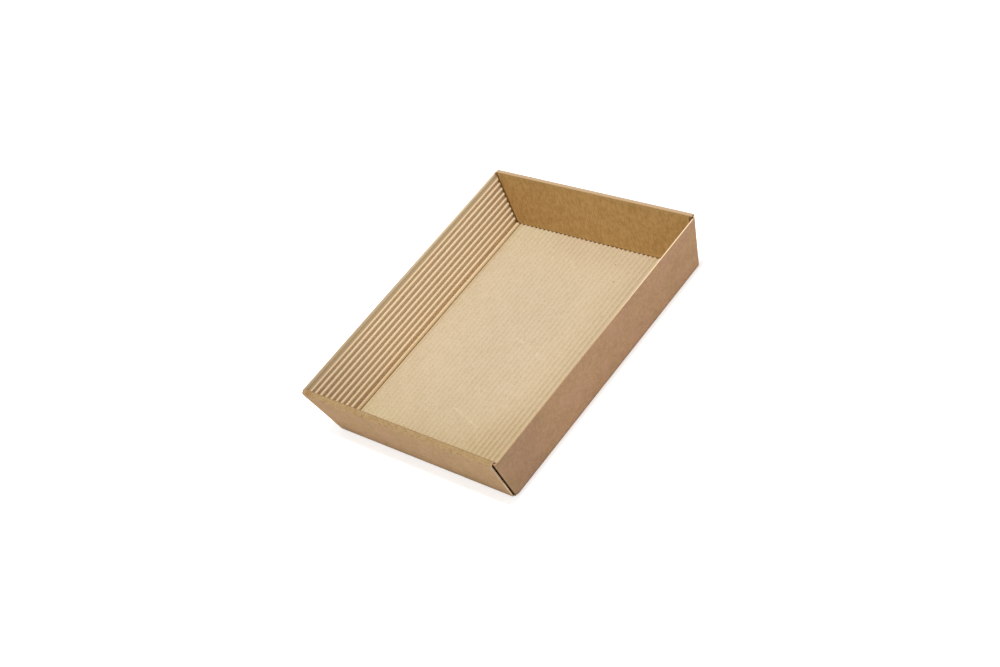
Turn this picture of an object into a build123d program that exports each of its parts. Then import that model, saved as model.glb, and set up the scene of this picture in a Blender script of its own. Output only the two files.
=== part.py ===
from build123d import *
import math
import os

# Shallow tray folded from one blank of single-face corrugated card.
# The smooth liner is outside. The open flutes face into the tray and run along its length.
# X is the width across the flutes, Y is the length along them, Z is up.
# The origin is the middle of the underside, on the surface that the tray stands on.

# The card: a flat liner with a thinner paper glued to it in waves
liner = 0.4
fluting = 0.3
flute_pitch = 3.2
flute_height = 1.2
glue_depth = 0.05

# The tray, over its outer faces
floor_width = 132.0
floor_length = 167.0
side_height = 32.4
end_height = 33.4
side_lean = 11.0
end_lean = 9.0

# How far the flutes stop short of the floor's side folds, start above them and end below the rim
floor_margin = 3.4
foot_margin = 2.0
rim_margin = 2.0

# The flute beside each side fold, which the folding has pinched into an upright ridge
pinched_width = 1.9
pinched_height = 1.6

# The folds, as outer radii, and the depth of a rolled end wall at its rim and at its foot
fold_radius = 1.3
corner_radius = 1.5
rim_radius = 1.6
rim_depth = 3.4
foot_depth = 5.4

# The end walls' side edges lie this far inside the side walls' outer faces
end_inset = 1.9

# The tabs of the side walls, tucked inside the end walls
tab_depth = 1.5
tab_length = 38.0
tab_top = 23.5
tab_slope = 4.0
tab_round = 5.0
tab_lift = 1.2
tab_root = 0.3

# Room between faces that only lie against each other
slip = 0.12

# Worked out from the sizes above
card = liner + fluting
crest = liner + flute_height
wave = crest - card
quarter = flute_pitch / 4
half_width = floor_width / 2
half_length = floor_length / 2
side_angle = math.radians(side_lean)
end_angle = math.radians(end_lean)
side_tan = math.tan(side_angle)
end_tan = math.tan(end_angle)
side_slope = side_height / math.cos(side_angle)
side_fold = fold_radius * math.tan((math.pi / 2 - side_angle) / 2)
end_fold = fold_radius * math.tan((math.pi / 2 - end_angle) / 2)
fluted_reach = half_length - (tab_depth + crest) / math.cos(end_angle) - slip
floor_flutes = int(2 * (half_width - floor_margin) / flute_pitch)
wall_flutes = int((side_slope - foot_margin - rim_margin) / flute_pitch)
floor_start = -floor_flutes * flute_pitch / 2

# The +X +Y corner: where the faces of the side wall and its tab meet, and the ways they run from there
corner = Vector(half_width, half_length - tab_depth / math.cos(end_angle), 0)
upright = Vector(side_tan, end_tan, 1).normalized()
along_side = Vector(math.cos(side_angle), 0, -math.sin(side_angle)).cross(upright).normalized()
along_tab = upright.cross(Vector(0, math.cos(end_angle), -math.sin(end_angle))).normalized()
bend_reach = corner_radius / math.tan(math.radians(along_side.get_angle(along_tab)) / 2)


def wave_arcs(count, start):
    """The top of a run of flutes, from its first valley to its last, as arcs of one radius."""
    middle = card + wave / 2
    half_turn = math.atan(wave / 2 / quarter)
    radius = quarter / math.sin(2 * half_turn)
    across = radius * math.sin(half_turn)
    rise = radius * (1 - math.cos(half_turn))
    end = start + count * flute_pitch
    arcs = [ThreePointArc((start, card), (start + across, card + rise), (start + quarter, middle))]
    for flute in range(count):
        left = start + flute * flute_pitch + quarter
        right = left + 2 * quarter
        arcs.append(ThreePointArc((left, middle), (left + quarter, crest), (right, middle)))
        if flute < count - 1:
            arcs.append(ThreePointArc((right, middle), (right + quarter, card), (right + 2 * quarter, middle)))
    arcs.append(ThreePointArc((end - quarter, middle), (end - across, card + rise), (end, card)))
    return arcs


def channel(centre):
    """The open space under one flute, down to the glue that holds the wave to the liner."""
    turn = 2 * math.atan(wave / 2 / quarter)
    radius = quarter / math.sin(turn)
    bottom = liner + glue_depth
    foot_turn = math.acos((card + radius - bottom) / (radius + fluting))
    points = [(2 * quarter - (radius + fluting) * math.sin(foot_turn), bottom)]
    for angle in (turn, turn / 3):
        inner = radius - fluting
        points.append((inner * math.sin(angle), crest - radius + inner * math.cos(angle)))
    points += [(-x, y) for x, y in reversed(points)]
    return Polyline(*[(centre + x, y) for x, y in points], close=True).wire()


def fluted_card(count, start, first, last):
    """Section of open-fluted card that runs from first to last, liner down."""
    end = start + count * flute_pitch
    edges = [Line((first, 0), (first, card)), Line((first, card), (start, card))]
    edges += wave_arcs(count, start)
    edges += [Line((end, card), (last, card)), Line((last, card), (last, 0)), Line((last, 0), (first, 0))]
    channels = [channel(start + (flute + 0.5) * flute_pitch) for flute in range(count)]
    return Face(Wire(edges), channels)


def folded_card(points, radii):
    """Section of pressed card along points, which are its outer corners, with rounded folds."""
    outside = [Vector(*point) for point in points]
    steps = [(b - a).normalized() for a, b in zip(outside, outside[1:])]
    inward = [Vector(-step.Y, step.X) * card for step in steps]
    inside = [outside[0] + inward[0]]
    for bend, before, after in zip(outside[1:], inward, inward[1:]):
        both = before + after
        inside.append(bend + both * (2 * card**2 / both.length**2))
    inside.append(outside[-1] + inward[-1])
    outer = FilletPolyline(*outside, radius=radii)
    inner = FilletPolyline(*inside, radius=[radius - card for radius in radii])
    ends = [Line(outer @ 0, inner @ 0), Line(outer @ 1, inner @ 1)]
    return make_face([outer, inner, *ends])


def beyond(point, normal):
    """A block that fills the side of a plane that its normal points to."""
    size = 3 * (floor_width + floor_length)
    return Plane(origin=point, z_dir=normal) * Box(size, size, size, align=(Align.CENTER, Align.CENTER, Align.MIN))


def pinched_flute():
    """Section of the upright ridge that stands on the floor between its last valley and the side fold."""
    near = Vector(-floor_start, card)
    far = near + Vector(pinched_width, 0)
    top = near + Vector(pinched_width / 2, pinched_height)
    outline = [ThreePointArc(near, top, far)]
    outline.append(ThreePointArc(near + Vector(fluting, 0), top - Vector(0, fluting), far - Vector(fluting, 0)))
    sunk = Vector(0, -glue_depth)
    for outer, inner in ((near, near + Vector(fluting, 0)), (far, far - Vector(fluting, 0))):
        outline.append(Polyline(outer, outer + sunk, inner + sunk, inner))
    return make_face(outline)


def fluted_floor():
    """The floor, with its flutes pressed flat under the end walls and a pinched one at each side."""
    reach = half_width - side_fold
    section = Plane.XZ * fluted_card(floor_flutes, floor_start, -reach, reach)
    flat = Box(2 * reach, 2 * (half_length - end_fold), card, align=(Align.CENTER, Align.CENTER, Align.MIN))
    flat -= Box(floor_width, 2 * fluted_reach, floor_width)
    ridge = extrude(Plane.XZ * pinched_flute(), amount=half_length - foot_depth - slip, both=True)
    return extrude(section, amount=fluted_reach, both=True) + flat + ridge + mirror(ridge, about=Plane.YZ)


def side_wall():
    """The leaning wall on the +X side and the fold at its foot, up to the corner folds."""
    up_wall = Plane(origin=(half_width, 0, 0), x_dir=(side_tan, 0, 1), z_dir=(0, -1, 0))
    section = up_wall * fluted_card(wall_flutes, foot_margin, side_fold, side_slope + flute_pitch)
    wall = extrude(section, amount=floor_length, both=True) - beyond((0, 0, side_height), (0, 0, 1))
    leg = 2 * side_fold
    points = [(half_width - leg, 0), (half_width, 0)]
    points.append((half_width + leg * math.sin(side_angle), leg * math.cos(side_angle)))
    fold = extrude(Plane.XZ * folded_card(points, [fold_radius]), amount=floor_length, both=True)
    fold -= beyond((half_width - side_fold, 0, 0), (-1, 0, 0))
    past_corner = beyond(corner + along_side * bend_reach, -along_side)
    return wall + fold - past_corner - mirror(past_corner, about=Plane.XZ)


def corner_fold():
    """The rounded upright fold between a side wall and its tab."""
    across = Plane(origin=corner, x_dir=along_side, z_dir=upright)
    tab_way = Vector(along_tab.dot(across.x_dir), along_tab.dot(across.y_dir))
    points = [(bend_reach + corner_radius, 0), (0, 0), tab_way * (bend_reach + tab_root)]
    fold = extrude(across * folded_card(points, [corner_radius]), amount=2 * side_height, both=True)
    return fold - beyond((0, 0, side_height), (0, 0, 1)) - beyond((0, 0, card + slip), (0, 0, -1))


def tab():
    """The tab beyond that fold, which lies between the two leaves of the end wall."""
    face = Plane(origin=corner, x_dir=(-1, 0, 0), z_dir=(0, math.cos(end_angle), -math.sin(end_angle)))
    low = tab_lift / math.cos(end_angle)
    high = tab_top / math.cos(end_angle)
    points = [(-tab_length, low), (tab_length, low), (tab_length, high - tab_slope), (0, high), (-tab_length, high)]
    outline = make_face(Polyline(*points, close=True))
    outline = fillet(outline.vertices().sort_by(Axis.X)[-2:], tab_round)
    plate = extrude(face * outline, amount=-card)
    return plate - beyond(corner + along_tab * (bend_reach + tab_root / 2), -along_tab)


def end_wall():
    """The +Y end wall: up outside, over the rim, and down inside onto the floor's flutes."""
    rim = half_length + end_height * end_tan
    stub = half_length - 2 * end_fold
    points = [(stub, 0), (half_length, 0), (rim, end_height)]
    points += [(rim - rim_depth, end_height), (half_length - foot_depth, 0)]
    section = Plane.YZ * folded_card(points, [fold_radius, rim_radius, rim_radius])
    wall = extrude(section, amount=floor_width, both=True)
    wall -= Box(2 * floor_width, 2 * stub - slip, 2 * (crest + slip))
    past_edge = beyond((half_width - end_inset, 0, 0), (1, 0, -side_tan))
    return wall - past_edge - mirror(past_edge, about=Plane.YZ)


turned_in = corner_fold() + tab()
side = side_wall() + turned_in + mirror(turned_in, about=Plane.XZ)
end = end_wall()
tray = fluted_floor() + side + mirror(side, about=Plane.YZ)
tray = tray + end + mirror(end, about=Plane.XZ)

os.makedirs("parts", exist_ok=True)
export_step(tray, "parts/tray.step")
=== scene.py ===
import bpy
import math
from mathutils import Matrix, Vector

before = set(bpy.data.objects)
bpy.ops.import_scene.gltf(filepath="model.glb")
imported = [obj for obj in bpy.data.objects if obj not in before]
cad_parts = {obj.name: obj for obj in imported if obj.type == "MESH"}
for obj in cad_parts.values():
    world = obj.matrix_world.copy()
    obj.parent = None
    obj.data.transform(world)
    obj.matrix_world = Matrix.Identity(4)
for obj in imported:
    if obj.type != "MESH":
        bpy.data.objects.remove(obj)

scene = bpy.context.scene
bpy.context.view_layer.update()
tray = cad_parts["tray"]
print("frame loaded")


# A socket that can be written with in Python expressions
class Value:
    def __init__(self, tree, socket):
        self.tree = tree
        self.socket = socket

    def math(self, operation, *others):
        return self.tree.add("ShaderNodeMath", {"operation": operation}, (self,) + others)

    def __add__(self, other):
        return self.math("ADD", other)

    __radd__ = __add__

    def __mul__(self, other):
        return self.math("MULTIPLY", other)

    __rmul__ = __mul__

    def __sub__(self, other):
        return self.math("SUBTRACT", other)

    def __rsub__(self, other):
        return self.tree.add("ShaderNodeMath", {"operation": "SUBTRACT"}, (other, self))

    def __abs__(self):
        return self.math("ABSOLUTE")

    # 1 above the edge and 0 below it, with a soft change on both sides of it
    def above(self, edge, soft):
        return self.tree.ramp(self, edge - soft, edge + soft)

    def below(self, edge, soft):
        return 1 - self.above(edge, soft)


# The nodes of one material, or of the world
class Tree:
    def __init__(self, owner, shader="Principled BSDF"):
        owner.use_nodes = True
        self.nodes = owner.node_tree.nodes
        self.links = owner.node_tree.links
        self.shader = self.nodes[shader]

    def plug(self, socket, value):
        if isinstance(value, Value):
            self.links.new(value.socket, socket)
        else:
            socket.default_value = value

    def add(self, kind, settings=None, values=(), output=0):
        node = self.nodes.new(kind)
        for name, setting in (settings or {}).items():
            setattr(node, name, setting)
        named = values.items() if isinstance(values, dict) else enumerate(values)
        for name, value in named:
            self.plug(node.inputs[name], value)
        return Value(self, node.outputs[output])

    # From 0 at the start to 1 at the end
    def ramp(self, value, start, end):
        settings = {"interpolation_type": "SMOOTHSTEP"}
        return self.add("ShaderNodeMapRange", settings, (value, start, end))

    def stretch(self, place, scale):
        return self.add("ShaderNodeMapping", {}, {"Vector": place, "Scale": scale})

    def noise(self, place, detail, roughness, scale=1.0, stretch=None, warp=0.0):
        if stretch:
            place = self.stretch(place, stretch)
        values = {"Vector": place, "Scale": scale, "Detail": detail, "Roughness": roughness}
        values["Distortion"] = warp
        return self.add("ShaderNodeTexNoise", {}, values)

    def distance(self, place, point):
        return self.add("ShaderNodeVectorMath", {"operation": "DISTANCE"}, (place, point), 1)

    def mix(self, share, first, second, blend="MIX"):
        node = self.nodes.new("ShaderNodeMix")
        node.data_type = "RGBA"
        node.blend_type = blend
        self.plug(node.inputs[0], share)
        self.plug(node.inputs[6], first)
        self.plug(node.inputs[7], second)
        return Value(self, node.outputs[2])

    # Multiplies a colour by a factor for each of its channels
    def tint(self, share, colour, factors):
        return self.mix(share, colour, (*factors, 1), "MULTIPLY")

    def split(self, vector):
        node = self.nodes.new("ShaderNodeSeparateXYZ")
        self.plug(node.inputs[0], vector)
        return [Value(self, output) for output in node.outputs]

    def set(self, name, value):
        self.plug(self.shader.inputs[name], value)


# Screen colour, 0 to 255, as light
def linear(red, green, blue):
    light = []
    for level in (red / 255, green / 255, blue / 255):
        light.append(level / 12.92 if level <= 0.04045 else ((level + 0.055) / 1.055) ** 2.4)
    return (*light, 1.0)


# Camera, from the edges of the tray in the photograph
camera = {
    "azimuth": 59.515,
    "elevation": 39.314,
    "roll": -29.663,
    "distance": 0.92777,
    "right": -0.00532,
    "up": 0.01102,
    "focal": 1739.7,
    "imageWidth": 1000,
    "sensor": 36.0,
    "clipStart": 0.01,
    "clipEnd": 50,
}


def addCamera():
    azimuth = math.radians(camera["azimuth"])
    elevation = math.radians(camera["elevation"])
    roll = math.radians(camera["roll"])
    across = math.cos(elevation)
    back = Vector((math.sin(azimuth) * across, -math.cos(azimuth) * across, math.sin(elevation)))
    right = Vector((0, 0, 1)).cross(back).normalized()
    up = back.cross(right)
    place = back * camera["distance"] + right * camera["right"] + up * camera["up"]
    turnedRight = right * math.cos(roll) + up * math.sin(roll)
    turnedUp = up * math.cos(roll) - right * math.sin(roll)
    lens = bpy.data.cameras.new("camera")
    lens.sensor_width = camera["sensor"]
    lens.lens = camera["focal"] * camera["sensor"] / camera["imageWidth"]
    lens.clip_start = camera["clipStart"]
    lens.clip_end = camera["clipEnd"]
    view = bpy.data.objects.new("camera", lens)
    turn = Matrix((turnedRight, turnedUp, back)).transposed()
    view.matrix_world = Matrix.Translation(place) @ turn.to_4x4()
    scene.collection.objects.link(view)
    scene.camera = view


# The sheet as it is folded, in metres, to tell its faces apart
# A depth is measured inwards from the outer face
sheet = {
    "halfWidth": 0.066,
    "halfLength": 0.0835,
    "sideLean": math.radians(11),
    "endLean": math.radians(9),
    "sideHeight": 0.0324,
    "endHeight": 0.0334,
    "linerDepth": 0.00042,
    "valleyDepth": 0.0007,
    "crestDepth": 0.0016,
    "footDepth": 0.0054,  # of a rolled end wall, at the floor
    "rimDepth": 0.0034,
    "leafEdge": 0.0641,  # from the middle to an end wall's side edge, at the floor
}

# Where its parts begin or end, each with half the width of the change
borders = {
    "insideLeaf": (0.0001, 0.00005),
    "fluting": (sheet["linerDepth"], 0.00002),
    "endWallDepth": (sheet["footDepth"] + 0.0002, 0.0001),
    "endWallSide": (0.0012, 0.0001),
    "floorHeight": (0.0019, 0.0001),
    "floorSide": (0.0623, 0.0001),
    "farHalf": (0, 0.03),
}

# Noise in the paper: its waves in a metre, or those along x, y and z
patterns = {
    "fine": {"scale": 1250, "detail": 3, "roughness": 0.6},
    "grain": {"scale": 420, "detail": 3, "roughness": 0.65},
    "cloud": {"scale": 90, "detail": 4, "roughness": 0.6},
    "tone": {"scale": 26, "detail": 2, "roughness": 0.5},
    "hue": {"scale": 95, "detail": 3, "roughness": 0.6, "warp": 0.4},
    "upright": {"stretch": (1100, 1100, 60), "detail": 3, "roughness": 0.65},
    "fibres": {"stretch": (240, 1500, 500), "detail": 3, "roughness": 0.7, "warp": 0.8},
    "run": {"stretch": (320, 26, 320), "detail": 2, "roughness": 0.5},
}

# The floor's flutes look flat in its middle and show towards the right side and both ends
pressing = {
    "nearSpan": (-0.02, -0.078),
    "rightSpan": (0.01, 0.048),
    "rightTurn": 0.018,
    "endSpan": (0.05, 0.074),
    "endShare": 0.7,
    "waver": 0.02,
}


# The card's material, with the places and the noise that its colours are made from
class Card(Tree):
    def __init__(self, material):
        super().__init__(material)
        self.place = self.add("ShaderNodeTexCoord", output=3)
        self.facing = self.add("ShaderNodeNewGeometry", output=1)
        self.x, self.y, self.z = self.split(self.place)
        self.outY, self.outZ = self.split(self.facing)[1:]
        self.across = abs(self.x)
        self.noises = {name: self.noise(self.place, **pattern) for name, pattern in patterns.items()}
        self.findParts()
        self.findPressing()

    # How deep a point lies below the outer faces, and which part of the sheet it is on
    def findParts(self):
        sideFace = sheet["halfWidth"] + self.z * math.tan(sheet["sideLean"])
        endFace = sheet["halfLength"] + self.z * math.tan(sheet["endLean"])
        self.sideDepth = (sideFace - self.across) * math.cos(sheet["sideLean"])
        self.endDepth = endFace - abs(self.y)
        self.skin = self.sideDepth.math("MINIMUM", self.endDepth).math("MINIMUM", self.z)
        self.height = self.ramp(self.skin, sheet["valleyDepth"], sheet["crestDepth"])
        leafSlope = (sheet["footDepth"] - sheet["rimDepth"]) / sheet["endHeight"]
        self.leafDepth = sheet["footDepth"] - self.z * leafSlope
        self.inside = (self.endDepth - self.leafDepth).above(*borders["insideLeaf"])
        self.fluted = self.skin.above(*borders["fluting"]) * self.inside
        nearEndWall = self.endDepth.below(*borders["endWallDepth"])
        self.endWall = nearEndWall * self.sideDepth.above(*borders["endWallSide"])
        low = self.z.below(*borders["floorHeight"])
        self.floor = self.fluted * low * self.across.below(*borders["floorSide"])
        self.far = self.y.above(*borders["farHalf"])

    # How far it lies towards the near end, the right side and both ends, and how much a flute shows there
    def findPressing(self):
        waver = self.waver("cloud", pressing["waver"])
        self.toNear = self.ramp(self.y, *pressing["nearSpan"])
        rightwards = self.x + self.toNear * pressing["rightTurn"] + waver
        self.toRight = self.ramp(rightwards, *pressing["rightSpan"])
        self.toEnds = self.ramp(abs(self.y) + waver, *pressing["endSpan"])
        self.ridged = self.toRight.math("MAXIMUM", self.toEnds * pressing["endShare"])

    # The noise about its middle
    def waver(self, name, reach):
        return (self.noises[name] - 0.5) * reach

    def blend(self, shares):
        return sum(self.noises[name] * share for name, share in shares.items())

    def mottled(self, paper):
        share = self.ramp(self.blend(paper["mottle"]), *paper["mottleSpan"])
        return self.mix(share, paper["dark"], paper["light"])


outerPaper = {
    "mottle": {"fine": 0.3, "grain": 0.35, "cloud": 0.2, "fibres": 0.15},
    "mottleSpan": (0.42, 0.58),
    "dark": linear(172, 138, 102),
    "light": linear(188, 154, 114),
    "hues": [
        {"colour": linear(184, 144, 116), "span": (0.48, 0.7), "share": 0.42},
        {"colour": linear(172, 146, 98), "span": (0.5, 0.32), "share": 0.3},
    ],
}


def outerColour(card):
    colour = card.mottled(outerPaper)
    for hue in outerPaper["hues"]:
        share = card.ramp(card.noises["hue"], *hue["span"]) * hue["share"]
        colour = card.mix(share, colour, hue["colour"])
    return colour


# The end walls' inner leaf, whose grain stands upright. It is the same paper as the outer face, painted
# warmer as the light that the tray's floor reflects onto it
leafPaper = {
    "mottle": {"upright": 0.45, "grain": 0.3, "fine": 0.15, "cloud": 0.1},
    "mottleSpan": (0.4, 0.6),
    "dark": linear(176, 138, 83),
    "light": linear(200, 161, 103),
    "depth": (0.0012, 0.0001),
    "height": (0.0012, 0.0002),
    "leftTint": (0.95, 0.94, 0.92),
    "leftSpan": (0, -0.055),
}


def addLeaf(card, colour):
    leaf = card.endWall * card.endDepth.above(*leafPaper["depth"]) * card.z.above(*leafPaper["height"])
    # The leaf's paper, painted warmer as light reflected from the tray's floor
    paper = card.mottled(leafPaper)
    paper = card.tint(card.ramp(card.x, *leafPaper["leftSpan"]), paper, leafPaper["leftTint"])
    return card.mix(leaf, colour, paper)


# The far rim, painted pale at its outer edge and warmer inward as light and shade, with painted shade where
# the inner part of its top faces up
farRim = {
    "height": (0.0322, 0.0006),
    "facingUp": (0.7, 0.15),
    "innerDepth": (0.0029, 0.0002),
    "outer": linear(166, 146, 130),
    "inner": linear(177, 149, 116),
    "colourSpan": (0.0008, 0.002),
    "shade": (0.58, 0.57, 0.54),
    "shadeHeight": (0.0305, 0.001),
    "shadeFacing": (0.1, 0.75),
}


def addFarRim(card, colour):
    rolled = card.endWall * card.z.above(*farRim["height"]) * card.outZ.above(*farRim["facingUp"])
    inner = card.far * card.endDepth.above(*farRim["innerDepth"])
    paper = card.mix(card.ramp(card.endDepth, *farRim["colourSpan"]), farRim["outer"], farRim["inner"])
    colour = card.mix(rolled * card.far - rolled * inner, colour, paper)
    # Painted shade where the inner part of the far rim's top faces up
    shaded = card.endWall * inner * card.z.above(*farRim["shadeHeight"])
    return card.tint(shaded * card.ramp(card.outZ, *farRim["shadeFacing"]), colour, farRim["shade"])


# The near rim is creased where it is rolled. It is painted darker where it faces up, as shade, and has
# painted shade along its inner side
nearRim = {
    "heightSpan": (0.0292, 0.0322),
    "depth": (sheet["rimDepth"], 0.0002),
    "side": linear(193, 159, 115),
    "top": linear(156, 130, 92),
    "crease": linear(128, 98, 62),
    "creaseMottle": {"fine": 0.6, "grain": 0.4},
    "creaseSpan": (0.54, 0.4),
    "creaseShare": 0.6,
    "innerShade": (0.66, 0.6, 0.54),
    "innerShadeHeight": (0.0312, 0.0006),
    "innerShadeDepth": (0.0028, 0.0003),
    "innerShadeGrain": (0.35, 0.6),
}


def addNearRim(card, colour):
    near = 1 - card.far
    rim = card.endWall * near * card.ramp(card.z, *nearRim["heightSpan"])
    # Painted shade: the rim's paper is darker where it faces up and lighter on its side
    paper = card.mix(card.outZ, nearRim["side"], nearRim["top"])
    creased = card.ramp(card.blend(nearRim["creaseMottle"]), *nearRim["creaseSpan"])
    paper = card.mix(creased * nearRim["creaseShare"], paper, nearRim["crease"])
    colour = card.mix(rim * card.endDepth.below(*nearRim["depth"]), colour, paper)
    # Painted shade along the rim's inner side, broken up by the grain
    innerShade = card.endWall * card.z.above(*nearRim["innerShadeHeight"])
    innerShade = innerShade * card.endDepth.above(*nearRim["innerShadeDepth"]) * near
    innerShade = innerShade * card.ramp(card.noises["grain"], *nearRim["innerShadeGrain"])
    return card.tint(innerShade, colour, nearRim["innerShade"])


# The side walls' outer faces, with painted light near the foot and painted shade towards the near end, and
# the near left corner's bruise
outerSide = {
    "depth": (0.0006, 0.0002),
    "tint": (0.96, 0.91, 0.96),
    "footPaintedLight": (1.13, 1.14, 1.16),
    "footPaintedLightSpan": (0.007, 0.001),
    "nearShade": (0.66, 0.68, 0.72),
    "nearShadeSpan": (-0.03, -0.075),
    "nearShadeWaver": 0.03,
    "nearShadeShare": 0.5,
    "bruise": linear(142, 100, 62),
    "bruiseMiddle": (-0.0662, -0.0868, 0.0334),
    "bruiseReach": (0.0022, 0.0014),
    "bruiseGrain": (0.42, 0.1),
    "bruiseShare": 0.7,
}

# Painted shade on the fold of each tab, deep in the gap beside an end wall
gapShade = {
    "tint": (0.3, 0.25, 0.2),
    "endDepth": (0.0012, 0.0002),
    "sideSpan": (0.0008, 0.0013),
    "sideDepth": (0.003, 0.0005),
    "facingEnd": (0.7, 0.15),
}


def addOuterSide(card, colour):
    side = card.sideDepth.below(*outerSide["depth"])
    colour = card.tint(side, colour, outerSide["tint"])
    # Painted light near the foot of the side walls, over the shade under their lean
    colour = card.tint(side * card.ramp(card.z, *outerSide["footPaintedLightSpan"]), colour, outerSide["footPaintedLight"])

    # Painted shade deep in the gap beside each end wall
    gapShadeMask = card.endDepth.above(*gapShade["endDepth"]) * card.ramp(card.sideDepth, *gapShade["sideSpan"])
    gapShadeMask = gapShadeMask * card.sideDepth.below(*gapShade["sideDepth"])
    colour = card.tint(gapShadeMask * abs(card.outY).above(*gapShade["facingEnd"]), colour, gapShade["tint"])

    # Painted shade, deepening towards the near end
    along = card.y + card.waver("tone", outerSide["nearShadeWaver"])
    nearShade = card.ramp(along, *outerSide["nearShadeSpan"]) * side
    colour = card.tint(nearShade * outerSide["nearShadeShare"], colour, outerSide["nearShade"])
    bruise = card.distance(card.place, outerSide["bruiseMiddle"]).below(*outerSide["bruiseReach"])
    bruise = bruise * card.noises["grain"].above(*outerSide["bruiseGrain"])
    return card.mix(bruise * outerSide["bruiseShare"], colour, outerSide["bruise"])


# The side walls' flutes, with a painted highlight on the top crest, painted shade above it and towards the
# near end, and the pressed margin over them with its frayed top
wallPaper = {
    "crest": linear(217, 194, 160),
    "valley": linear(217, 195, 162),
    "crestSpan": (0.25, 0.7),
    "waver": 0.5,
    "pressedDepth": (0.00085, 0.00005),
    "margin": (0.73, 0.69, 0.6),
    "marginHeight": (0.0302, 0.0003),
    "topCrestHighlight": (1.3, 1.3, 1.3),
    "topCrestHighlightFrom": (0.0284, 0.0002),
    "topCrestHighlightTo": (0.0294, 0.0002),
    "overCrestShade": (0.5, 0.47, 0.42),
    "overCrestShadeHeight": (0.0295, 0.0002),
    "near": (0.86, 0.86, 0.87),
    "nearSpan": (-0.02, -0.08),
    "frayed": linear(238, 224, 202),
    "frayedHeight": (0.0315, 0.0007),
    "frayedShare": 0.45,
    "frayedMore": 0.45,
    "frayedSpan": (-0.06, 0.06),
}


def wallColour(card):
    crest = card.ramp(card.height + card.waver("run", wallPaper["waver"]), *wallPaper["crestSpan"])
    colour = card.mix(crest, wallPaper["valley"], wallPaper["crest"])
    pressed = card.skin.below(*wallPaper["pressedDepth"])
    margin = card.z.above(*wallPaper["marginHeight"]) * pressed
    colour = card.tint(margin, colour, wallPaper["margin"])
    # Painted highlight on the top flute's crest
    topCrestHighlight = card.z.above(*wallPaper["topCrestHighlightFrom"]) * card.z.below(*wallPaper["topCrestHighlightTo"])
    colour = card.tint(topCrestHighlight, colour, wallPaper["topCrestHighlight"])
    # Painted shade over the top flute, where a flute above would cast its shadow
    overCrestShade = card.z.above(*wallPaper["overCrestShadeHeight"]) * (1 - margin)
    colour = card.tint(overCrestShade, colour, wallPaper["overCrestShade"])
    # Painted shade towards the near end
    colour = card.tint(card.ramp(card.y, *wallPaper["nearSpan"]), colour, wallPaper["near"])
    share = wallPaper["frayedShare"] + wallPaper["frayedMore"] * card.ramp(card.y, *wallPaper["frayedSpan"])
    frayed = card.z.above(*wallPaper["frayedHeight"]) * pressed
    return card.mix(frayed * share, colour, wallPaper["frayed"])


# The floor's paper is painted darker than the same paper on the side walls, as shade against the stronger
# light on the floor
floorPaper = {
    "mottle": {"fine": 0.65, "grain": 0.2, "cloud": 0.15},
    "mottleSpan": (0.34, 0.66),
    "dark": linear(181, 161, 129),
    "light": linear(195, 177, 150),
    "right": (0.96, 0.95, 0.89),
    "rightShare": 0.25,
    "rightMore": 0.75,
    "near": (0.94, 0.94, 0.9),
    "middle": (0.965, 0.97, 0.972),
    "middleAt": 0.005,
    "middleAcross": (0.04, 0.01),
    "middleAlong": (0.06, 0.03),
    "leftEnds": (1.02, 1.07, 1.05),
    "leftSpan": (-0.02, -0.045),
    "valley": (0.88, 0.87, 0.84),
}

# Marks on the floor, as they lie in the photograph
marks = {
    "scuffs": [
        {"middle": (0.0061, 0.0011), "reach": 0.012, "turn": -15},
        {"middle": (0.0047, -0.0517), "reach": 0.0135, "turn": -15},
        {"middle": (-0.0092, 0.0613), "reach": 0.004, "turn": -19},
        {"middle": (0.0107, 0.0501), "reach": 0.006, "turn": -19},
    ],
    "scuff": (1.12, 1.12, 1.12),
    "scuffWidth": (0.0005, 0.0004),
    "scuffFade": 0.003,
    "scuffWaver": 0.003,
    "scuffGrain": (0.4, 0.6),
    "specks": [
        {"middle": (0.0257, 0.0557, 0), "size": 0.0004},
        {"middle": (0.0189, 0.067, 0), "size": 0.0004},
        {"middle": (0.0349, 0.0319, 0), "size": 0.0004},
        {"middle": (0.0207, 0.0564, 0), "size": 0.0002},
    ],
    "speck": linear(112, 84, 56),
    "speckFade": 0.0001,
    "speckShare": 0.8,
}


def addMarks(card, colour):
    waver = card.waver("cloud", marks["scuffWaver"])
    for scuff in marks["scuffs"]:
        overX = card.x - scuff["middle"][0]
        overY = card.y - scuff["middle"][1]
        turn = math.radians(scuff["turn"])
        along = overX * math.cos(turn) + overY * math.sin(turn)
        across = overY * math.cos(turn) - overX * math.sin(turn)
        line = abs(across + waver).below(*marks["scuffWidth"])
        line = line * abs(along).below(scuff["reach"], marks["scuffFade"])
        broken = card.ramp(card.noises["grain"], *marks["scuffGrain"])
        colour = card.tint(line * broken, colour, marks["scuff"])
    seenFromAbove = card.stretch(card.place, (1, 1, 0))
    for speck in marks["specks"]:
        spot = card.distance(seenFromAbove, speck["middle"]).below(speck["size"], marks["speckFade"])
        colour = card.mix(spot * marks["speckShare"], colour, marks["speck"])
    return colour


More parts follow.
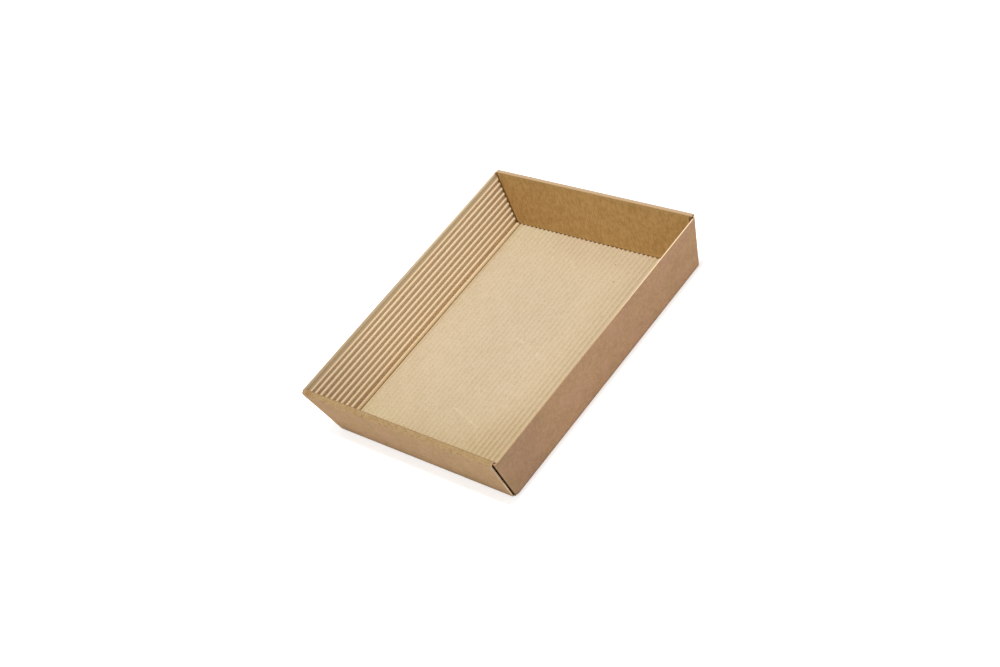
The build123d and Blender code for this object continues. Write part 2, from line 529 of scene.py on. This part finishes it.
def floorColour(card):
    colour = card.mottled(floorPaper)
    # Painted shade towards the right side, deeper at the near end
    right = card.toRight * (floorPaper["rightShare"] + card.toNear * floorPaper["rightMore"])
    colour = card.tint(right, colour, floorPaper["right"])
    # Painted shade towards the near end
    colour = card.tint(card.toNear, colour, floorPaper["near"])
    middle = card.ramp(abs(card.x + floorPaper["middleAt"]), *floorPaper["middleAcross"])
    middle = middle * card.ramp(card.y, *floorPaper["middleAlong"])
    colour = card.tint(middle, colour, floorPaper["middle"])
    leftEnds = card.toEnds * card.ramp(card.x, *floorPaper["leftSpan"])
    colour = card.tint(leftEnds, colour, floorPaper["leftEnds"])
    colour = addMarks(card, colour)
    # Painted shade in the valleys of the flutes that show
    return card.tint((1 - card.height) * card.ridged, colour, floorPaper["valley"])


# The seam between the floor and the side walls, with the pinched flute that stands beside it, painted
# darker as shade in the crease, on the floor beside it and on the flute's side towards the floor
seam = {
    "crease": (0.7, 0.6, 0.46),
    "creaseAt": 0.062,
    "creaseWidth": (0.0006, 0.0004),
    "creaseHeight": (0.0013, 0.0003),
    "creaseFar": 0.9,
    "farFloorShade": (0.86, 0.82, 0.76),
    "farFloorShadeSpan": (0.0598, 0.0616),
    "floor": (0.97, 0.93, 0.86),
    "floorAt": 0.0612,
    "floorWidth": (0.0014, 0.0012),
    "ridge": (0.72, 0.65, 0.5),
    "ridgeSpan": (0.0637, 0.0625),
    "ridgeHeight": (0.0024, 0.0002),
    "ridgeFar": 0.4,
}


def addSeam(card, colour):
    # Painted shade in the crease along the fold
    crease = abs(card.across - seam["creaseAt"]).below(*seam["creaseWidth"])
    crease = crease * card.z.below(*seam["creaseHeight"]) * (1 - seam["creaseFar"] * card.far)
    colour = card.tint(crease, colour, seam["crease"])
    # Painted shade on the floor beside the fold
    farFloorShade = card.ramp(card.across, *seam["farFloorShadeSpan"]) * card.floor * card.far
    colour = card.tint(farFloorShade, colour, seam["farFloorShade"])
    besideFloorShade = abs(card.across - seam["floorAt"]).below(*seam["floorWidth"]) * card.floor
    colour = card.tint(besideFloorShade, colour, seam["floor"])
    # Painted shade on the pinched flute's side towards the floor
    ridge = card.ramp(card.across, *seam["ridgeSpan"]) * card.z.below(*seam["ridgeHeight"])
    ridge = ridge * (1 - card.floor) * (1 - seam["ridgeFar"] * card.far)
    return card.tint(ridge, colour, seam["ridge"])


# The raw edges of the card
cuts = {
    "near": linear(172, 146, 110),
    "far": linear(222, 195, 160),
    "farSpan": (-0.02, 0.055),
    "topHeight": (sheet["sideHeight"] - 0.00006, 0.00002),
    "topDepth": (0.0017, 0.0001),
    "leafWidth": (0.00004, 0.00002),
    "plyGap": linear(96, 74, 52),
    "plyDepth": sheet["linerDepth"],
    "plyWidth": (0.0001, 0.00004),
    "plyHeight": (0.014, 0.002),
}

# Painted shade in the dark room between an end wall's two leaves
hollowShade = {
    "tint": (0.35, 0.3, 0.25),
    "outerLeaf": (0.0006, 0.0001),
    "innerLeaf": (0.0006, 0.0001),
    "sideDepth": (0.0017, 0.0002),
    "bottom": (0.0022, 0.0003),
    "top": (0.0324, 0.0001),
}


def addCuts(card, colour):
    top = card.z.above(*cuts["topHeight"]) * card.sideDepth.below(*cuts["topDepth"]) * card.inside
    topPaper = card.mix(card.ramp(card.y, *cuts["farSpan"]), cuts["near"], cuts["far"])
    colour = card.mix(top, colour, topPaper)
    leafEdge = sheet["leafEdge"] + card.z * math.tan(sheet["sideLean"])
    leafSide = abs(card.across - leafEdge).below(*cuts["leafWidth"]) * (1 - card.inside)
    colour = card.mix(leafSide, colour, cuts["far"])

    # Painted shade between an end wall's two leaves
    between = card.endDepth.above(*hollowShade["outerLeaf"])
    between = between * (card.leafDepth - card.endDepth).above(*hollowShade["innerLeaf"])
    between = between * card.sideDepth.above(*hollowShade["sideDepth"]) * (1 - leafSide)
    between = between * card.z.above(*hollowShade["bottom"]) * card.z.below(*hollowShade["top"])
    colour = card.tint(between, colour, hollowShade["tint"])

    plyGap = leafSide * abs(card.endDepth - cuts["plyDepth"]).below(*cuts["plyWidth"])
    return card.mix(plyGap * card.z.above(*cuts["plyHeight"]), colour, cuts["plyGap"])


surface = {
    "roughness": 0.85,
    "specular": 0.12,
    "flattening": 0.85,
    "relief": {"fine": 0.5, "fibres": 0.3, "grain": 0.4},
    "reliefStrength": 0.12,
    "reliefDepth": 0.0003,
}


# Turns the normals of the pressed floor upright, and roughens all of the paper
def paperNormal(card):
    flat = card.floor * (surface["flattening"] - surface["flattening"] * card.ridged)
    upright = card.mix(flat, card.facing, (0, 0, 1, 1))
    values = {
        "Height": card.blend(surface["relief"]),
        "Strength": surface["reliefStrength"],
        "Distance": surface["reliefDepth"],
        "Normal": card.add("ShaderNodeVectorMath", {"operation": "NORMALIZE"}, (upright,)),
    }
    return card.add("ShaderNodeBump", {}, values)


def cardMaterial():
    material = bpy.data.materials.new("kraftCard")
    card = Card(material)
    liner = outerColour(card)
    for addPart in (addLeaf, addFarRim, addNearRim, addOuterSide):
        liner = addPart(card, liner)
    fluting = addSeam(card, card.mix(card.floor, wallColour(card), floorColour(card)))
    colour = addCuts(card, card.mix(card.fluted, liner, fluting))
    card.set("Base Color", colour)
    card.set("Roughness", surface["roughness"])
    card.set("Specular IOR Level", surface["specular"])
    card.set("Normal", paperNormal(card))
    tray.data.materials.clear()
    tray.data.materials.append(material)


# The floor glows only where it is seen, and the room lights the tray by its fill, so both show white
stage = {
    "size": 14.0,
    "gap": 0.0001,
    "albedo": (0.8, 0.8, 0.8, 1.0),
    "glow": (0.58, 0.58, 0.58, 1.0),
    "fill": 0.6,
}


# 1 where the camera, a reflection or a clear piece looks straight at it, 0 where it only lights
def seenDirectly(t):
    path = t.nodes.new("ShaderNodeLightPath")
    kinds = ("Camera", "Glossy", "Transmission")
    seen, glossy, clear = [Value(t, path.outputs[f"Is {kind} Ray"]) for kind in kinds]
    return seen.math("MAXIMUM", glossy).math("MAXIMUM", clear)


def addStage():
    bpy.ops.object.select_all(action="DESELECT")
    bpy.ops.mesh.primitive_plane_add(size=stage["size"], location=(0, 0, -stage["gap"]))
    floor = bpy.context.object
    floor.name = "floor"
    material = bpy.data.materials.new("floorWhite")
    t = Tree(material)
    t.set("Base Color", stage["albedo"])
    t.set("Roughness", 1.0)
    t.set("Specular IOR Level", 0.0)
    t.set("Emission Color", t.mix(seenDirectly(t), (0, 0, 0, 1), stage["glow"]))
    t.set("Emission Strength", 1.0)
    floor.data.materials.append(material)
    scene.world = bpy.data.worlds.new("room")
    t = Tree(scene.world, "Background")
    t.set("Color", (1, 1, 1, 1))
    t.set("Strength", seenDirectly(t) * (1 - stage["fill"]) + stage["fill"])


# Sun, nearly overhead
key = {"from": (0.09, 0.05, 1.0), "strength": 2.8, "angle": 9.0}


def addLight():
    sun = bpy.data.lights.new("key", "SUN")
    sun.energy = key["strength"]
    sun.angle = math.radians(key["angle"])
    held = bpy.data.objects.new("key", sun)
    held.rotation_euler = Vector(key["from"]).to_track_quat("Z", "Y").to_euler()
    held.location = key["from"]
    scene.collection.objects.link(held)


addCamera()
print("camera placed")
cardMaterial()
print("card coloured")
addStage()
print("floor and room added")
addLight()
print("light added")
scene.view_settings.view_transform = "Standard"
